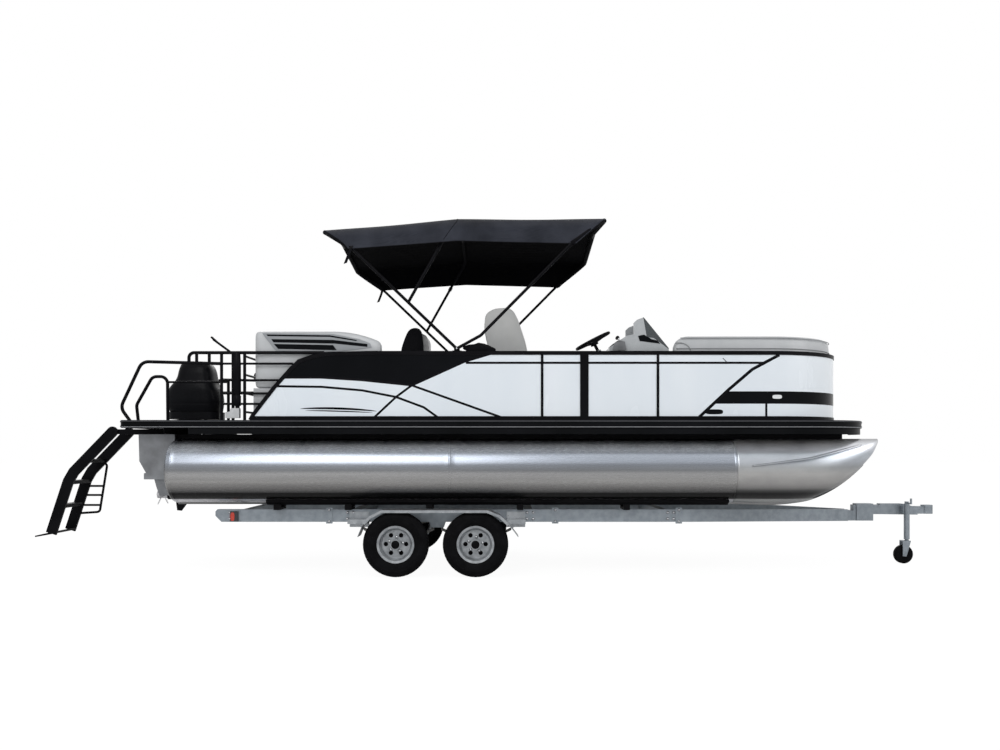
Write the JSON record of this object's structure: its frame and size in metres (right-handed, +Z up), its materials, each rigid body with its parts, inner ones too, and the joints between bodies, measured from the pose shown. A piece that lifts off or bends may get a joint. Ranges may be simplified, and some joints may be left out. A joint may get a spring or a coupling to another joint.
{
  "type": "pontoon boat on a tandem trailer",
  "caption": "Twin-tube pontoon boat with fenced deck, lounges, helm, outboard engine, folding sun top and ladder, standing on its galvanised tandem trailer.",
  "frame": {"origin": "on the floor under the middle of the boat and trailer", "axes": "+X to the bow and the tow coupler, +Y to port, +Z up"},
  "size_m": [9.416, 2.59, 3.6071],
  "materials": {
    "hull_aluminium": "brushed",
    "deck_vinyl": "woven vinyl",
    "edge_aluminium": "satin",
    "frame_steel": "black",
    "bracket_aluminium": "satin",
    "engine_black": "gloss black",
    "propeller_steel": "polished",
    "rail_black": "black powder coat",
    "panel_white": "pale blue white",
    "panel_black": "gloss black",
    "lounge_plastic": "pale grey",
    "cushion_vinyl": "pale grey vinyl",
    "console_plastic": "grey gel coat",
    "screen_tint": "dark tint",
    "wheel_black": "soft grip",
    "chair_shell": "black",
    "pedestal_aluminium": "polished",
    "canopy_cloth": "woven acrylic, black",
    "galvanised": "galvanised",
    "bunk_carpet": "carpeted board",
    "spring_steel": "zinc",
    "rim_zinc": "silver",
    "tyre_rubber": "black",
    "jockey_rubber": "black",
    "lamp_red": "red lens"
  },
  "bodies": {
    "root": {"tube_starboard": "hull_aluminium", "tube_port": "hull_aluminium", "under_deck_frame": "frame_steel", "deck_board": "deck_vinyl", "deck_edge": "edge_aluminium", "stern_brackets": "bracket_aluminium", "motor_pod": "bracket_aluminium", "outboard_clamp": "engine_black", "fence_frames": "rail_black", "fence_panels_white": "panel_white", "fence_panels_black": "panel_black", "stern_rails": "rail_black", "ladder_arms": "rail_black", "lounge_bases": "lounge_plastic", "aft_lounge_cushions": "cushion_vinyl", "bow_lounge_cushions": "cushion_vinyl", "console": "console_plastic", "windscreen": "screen_tint", "chair_pedestals": "pedestal_aluminium", "sun_top_mounts": "rail_black", "trailer_frame": "galvanised", "bunk_boards": "bunk_carpet", "bunk_brackets": "frame_steel", "axle_beams": "spring_steel", "leaf_springs": "spring_steel", "spring_hangers": "galvanised", "fenders": "galvanised", "coupler": "galvanised", "jockey_tube": "galvanised", "tail_lamps": "lamp_red"},
    "engine_bracket": {"outboard_swivel": "engine_black"},
    "engine": {"outboard_cowl": "engine_black", "outboard_leg": "engine_black"},
    "propeller": {"propeller": "propeller_steel"},
    "helm_wheel": {"helm_wheel": "wheel_black"},
    "helm_chair": {"helm_chair_shell": "chair_shell", "helm_chair_cushions": "cushion_vinyl"},
    "mate_chair": {"mate_chair_shell": "chair_shell", "mate_chair_cushions": "cushion_vinyl"},
    "bow_gate": {"bow_gate_frame": "rail_black", "bow_gate_panel": "panel_white"},
    "port_gate": {"port_gate_frame": "rail_black", "port_gate_panel": "panel_white"},
    "stern_gate": {"stern_gate": "rail_black"},
    "ladder": {"ladder": "rail_black"},
    "top_rear": {"sun_top_rear_bow": "rail_black", "canopy": "canopy_cloth"},
    "top_mid": {"sun_top_mid_bow": "rail_black"},
    "top_front": {"sun_top_front_bow": "rail_black"},
    "jockey_fork": {"jockey_fork": "galvanised"},
    "jockey_wheel": {"jockey_wheel": "jockey_rubber"},
    "wheel_rear_starboard": {"rim_rear_starboard": "rim_zinc", "tyre_rear_starboard": "tyre_rubber"},
    "wheel_rear_port": {"rim_rear_port": "rim_zinc", "tyre_rear_port": "tyre_rubber"},
    "wheel_front_starboard": {"rim_front_starboard": "rim_zinc", "tyre_front_starboard": "tyre_rubber"},
    "wheel_front_port": {"rim_front_port": "rim_zinc", "tyre_front_port": "tyre_rubber"}
  },
  "joints": [
    {"name": "engine_tilt", "type": "hinge", "parent": "root", "child": "engine_bracket", "pos_m": [-3.178, 0, 1.505], "axis": [0, 1, 0], "range_deg": [0, 55]},
    {"name": "engine_steer", "type": "hinge", "parent": "engine_bracket", "child": "engine", "pos_m": [-3.23, 0, 1.3], "axis": [0, 0, 1], "range_deg": [-30, 30]},
    {"name": "propeller_spin", "type": "hinge", "parent": "engine", "child": "propeller", "pos_m": [-3.695, 0, 0.74], "axis": [1, 0, 0], "continuous": true},
    {"name": "helm_turn", "type": "hinge", "parent": "root", "child": "helm_wheel", "pos_m": [0.933, -0.87, 2.325], "axis": [0.454, 0, -0.891], "range_deg": [-720, 720]},
    {"name": "helm_chair_swivel", "type": "hinge", "parent": "root", "child": "helm_chair", "pos_m": [0.068, -0.62, 1.85], "axis": [0, 0, 1], "continuous": true},
    {"name": "mate_chair_swivel", "type": "hinge", "parent": "root", "child": "mate_chair", "pos_m": [-0.917, 0.45, 1.85], "axis": [0, 0, 1], "continuous": true},
    {"name": "bow_gate_swing", "type": "hinge", "parent": "root", "child": "bow_gate", "pos_m": [3.432, -0.376, 1.85], "axis": [0, 0, 1], "range_deg": [0, 90]},
    {"name": "port_gate_swing", "type": "hinge", "parent": "root", "child": "port_gate", "pos_m": [1.521, 1.202, 1.85], "axis": [0, 0, 1], "range_deg": [0, 90]},
    {"name": "stern_gate_swing", "type": "hinge", "parent": "root", "child": "stern_gate", "pos_m": [-2.468, 0.325, 1.85], "axis": [0, 0, 1], "range_deg": [0, 90]},
    {"name": "ladder_fold", "type": "hinge", "parent": "root", "child": "ladder", "pos_m": [-3.9, -0.64, 1.414], "axis": [0, 1, 0], "range_deg": [0, 165]},
    {"name": "sun_top_lower", "type": "hinge", "parent": "root", "child": "top_rear", "pos_m": [-0.417, 0, 2.211], "axis": [0, -1, 0], "range_deg": [0, 28]},
    {"name": "sun_top_fold", "type": "hinge", "parent": "top_rear", "child": "top_front", "pos_m": [-0.417, 0, 2.211], "axis": [0, -1, 0], "range_deg": [0, 80], "deforming": ["canopy"]},
    {"name": "sun_top_mid", "type": "hinge", "parent": "top_rear", "child": "top_mid", "pos_m": [-0.892, 0, 2.672], "axis": [0, -1, 0], "range_deg": [0, 62]},
    {"name": "jockey_swivel", "type": "hinge", "parent": "root", "child": "jockey_fork", "pos_m": [4.405, -0.13, 0.3], "axis": [0, 0, 1], "continuous": true},
    {"name": "jockey_wheel_spin", "type": "hinge", "parent": "jockey_fork", "child": "jockey_wheel", "pos_m": [4.365, -0.13, 0.1], "axis": [0, 1, 0], "continuous": true},
    {"name": "wheel_rear_starboard_spin", "type": "hinge", "parent": "root", "child": "wheel_rear_starboard", "pos_m": [-1.009, -1.18, 0.318], "axis": [0, 1, 0], "continuous": true},
    {"name": "wheel_rear_port_spin", "type": "hinge", "parent": "root", "child": "wheel_rear_port", "pos_m": [-1.009, 1.18, 0.318], "axis": [0, 1, 0], "continuous": true},
    {"name": "wheel_front_starboard_spin", "type": "hinge", "parent": "root", "child": "wheel_front_starboard", "pos_m": [-0.237, -1.18, 0.318], "axis": [0, 1, 0], "continuous": true},
    {"name": "wheel_front_port_spin", "type": "hinge", "parent": "root", "child": "wheel_front_port", "pos_m": [-0.237, 1.18, 0.318], "axis": [0, 1, 0], "continuous": true}
  ],
  "couplings": [
    {"joint": "helm_turn", "follows": "engine_steer", "ratio": 24},
    {"joint": "sun_top_mid", "follows": "sun_top_fold", "ratio": 0.775}
  ]
}
